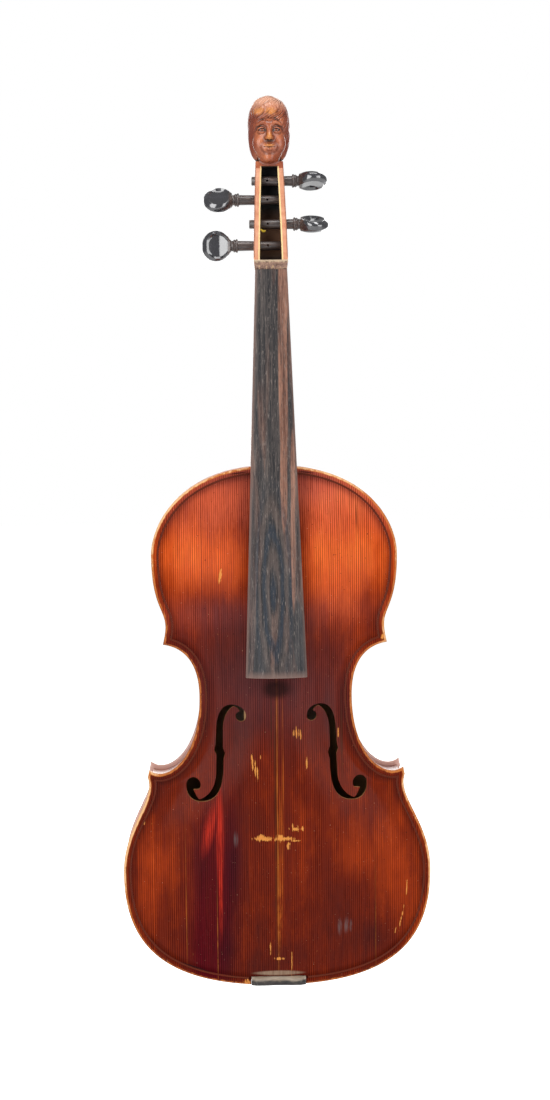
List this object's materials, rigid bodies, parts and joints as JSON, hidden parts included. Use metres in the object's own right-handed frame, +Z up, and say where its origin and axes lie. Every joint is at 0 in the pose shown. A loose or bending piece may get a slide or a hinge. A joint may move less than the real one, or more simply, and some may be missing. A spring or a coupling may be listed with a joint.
{
  "type": "violin with a carved head",
  "caption": "Full-size violin in worn red-brown varnish, with a carved head in place of a scroll and turning ebony pegs; the nut, strings, bridge and tailpiece are off.",
  "frame": {"origin": "the point under the carved head, at the end of the peg box, where a hanger takes the neck", "axes": "+Z up the body and neck towards the head, -Y out of the top plate, +X to the player's treble side, which is the viewer's right"},
  "size_m": [0.209, 0.0841, 0.607],
  "materials": {
    "varnished_spruce": "worn red-brown varnish over fine straight grain",
    "varnished_maple": "worn orange-brown varnish over flamed grain",
    "bare_wood": "bare planed wood",
    "ebony": "worn satin black",
    "purfling_wood": "dyed strips, flush and dull"
  },
  "bodies": {
    "violin_body": {"top_plate": "varnished_spruce", "back_plate": "varnished_maple", "back_purfling": "purfling_wood", "top_purfling_bass": "purfling_wood", "top_purfling_treble": "purfling_wood", "lower_rib_bass": "varnished_maple", "lower_rib_treble": "varnished_maple", "middle_rib_bass": "varnished_maple", "middle_rib_treble": "varnished_maple", "upper_rib_bass": "varnished_maple", "upper_rib_treble": "varnished_maple", "lower_corner_block_bass": "bare_wood", "lower_corner_block_treble": "bare_wood", "upper_corner_block_bass": "bare_wood", "upper_corner_block_treble": "bare_wood", "lower_top_lining_bass": "bare_wood", "lower_top_lining_treble": "bare_wood", "middle_top_lining_bass": "bare_wood", "middle_top_lining_treble": "bare_wood", "upper_top_lining_bass": "bare_wood", "upper_top_lining_treble": "bare_wood", "lower_back_lining_bass": "bare_wood", "lower_back_lining_treble": "bare_wood", "middle_back_lining_bass": "bare_wood", "middle_back_lining_treble": "bare_wood", "upper_back_lining_bass": "bare_wood", "upper_back_lining_treble": "bare_wood", "tail_block": "bare_wood", "neck_block": "bare_wood", "bass_bar": "bare_wood", "sound_post": "bare_wood", "neck": "varnished_maple", "fingerboard": "ebony", "saddle": "ebony"},
    "peg_g_body": {"peg_g": "ebony"},
    "peg_d_body": {"peg_d": "ebony"},
    "peg_a_body": {"peg_a": "ebony"},
    "peg_e_body": {"peg_e": "ebony"}
  },
  "joints": [
    {"name": "peg_g_turn", "type": "hinge", "parent": "violin_body", "child": "peg_g_body", "pos_m": [0, -0.00947, -0.0539], "axis": [1, 0, 0], "continuous": true},
    {"name": "peg_d_turn", "type": "hinge", "parent": "violin_body", "child": "peg_d_body", "pos_m": [0, -0.0039, -0.0224], "axis": [1, 0, 0], "continuous": true},
    {"name": "peg_a_turn", "type": "hinge", "parent": "violin_body", "child": "peg_a_body", "pos_m": [0, -0.00188, -0.0094], "axis": [1, 0, 0], "continuous": true},
    {"name": "peg_e_turn", "type": "hinge", "parent": "violin_body", "child": "peg_e_body", "pos_m": [0, -0.00675, -0.0391], "axis": [1, 0, 0], "continuous": true}
  ]
}
